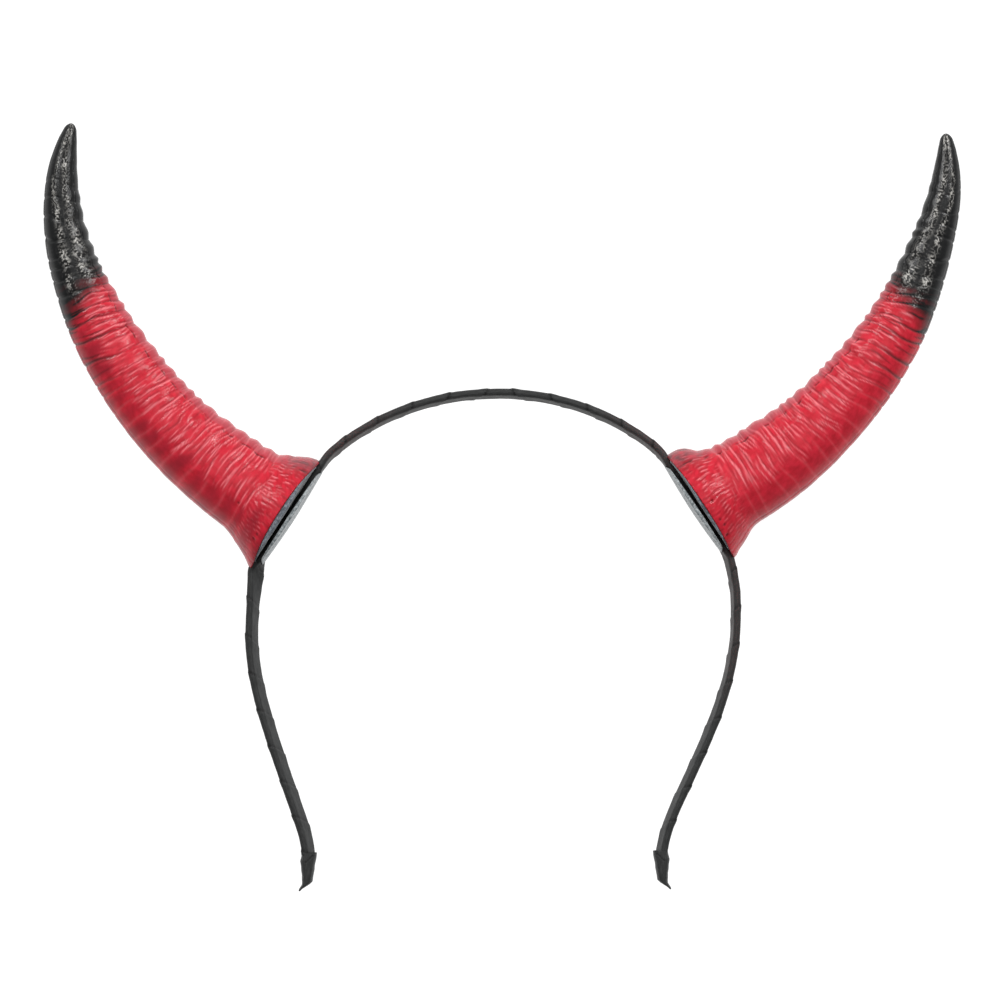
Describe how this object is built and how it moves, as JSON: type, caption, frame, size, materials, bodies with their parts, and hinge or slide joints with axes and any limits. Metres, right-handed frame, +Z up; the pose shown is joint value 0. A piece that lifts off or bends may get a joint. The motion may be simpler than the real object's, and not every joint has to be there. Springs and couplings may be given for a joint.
{
  "type": "devil horns headband",
  "caption": "Narrow ribbon-wrapped headband with a pair of upswept, ringed, hollow moulded devil horns seated on felt pads, lying on its back.",
  "frame": {"origin": "on the surface that the headband lies on, under the centre of its bounding box", "axes": "+X from the wearer's right horn to the left one as seen from the front, +Y towards the horn tips, +Z up, which is the headband's front"},
  "size_m": [0.2612, 0.217, 0.0296],
  "materials": {
    "ribbon": "black satin ribbon, wound helically over a springy strip and glued",
    "horn_latex": "moulded latex, glossy red paint fading to sprayed black at the tips",
    "felt": "matte grey felt, cut and glued"
  },
  "bodies": {
    "root": {"headband": "ribbon", "ribbon_end_left": "ribbon", "ribbon_end_right": "ribbon", "horn_left": "horn_latex", "horn_right": "horn_latex", "base_pad_left": "felt", "base_pad_right": "felt", "cover_pad_left": "felt", "cover_pad_right": "felt"}
  },
  "joints": []
}
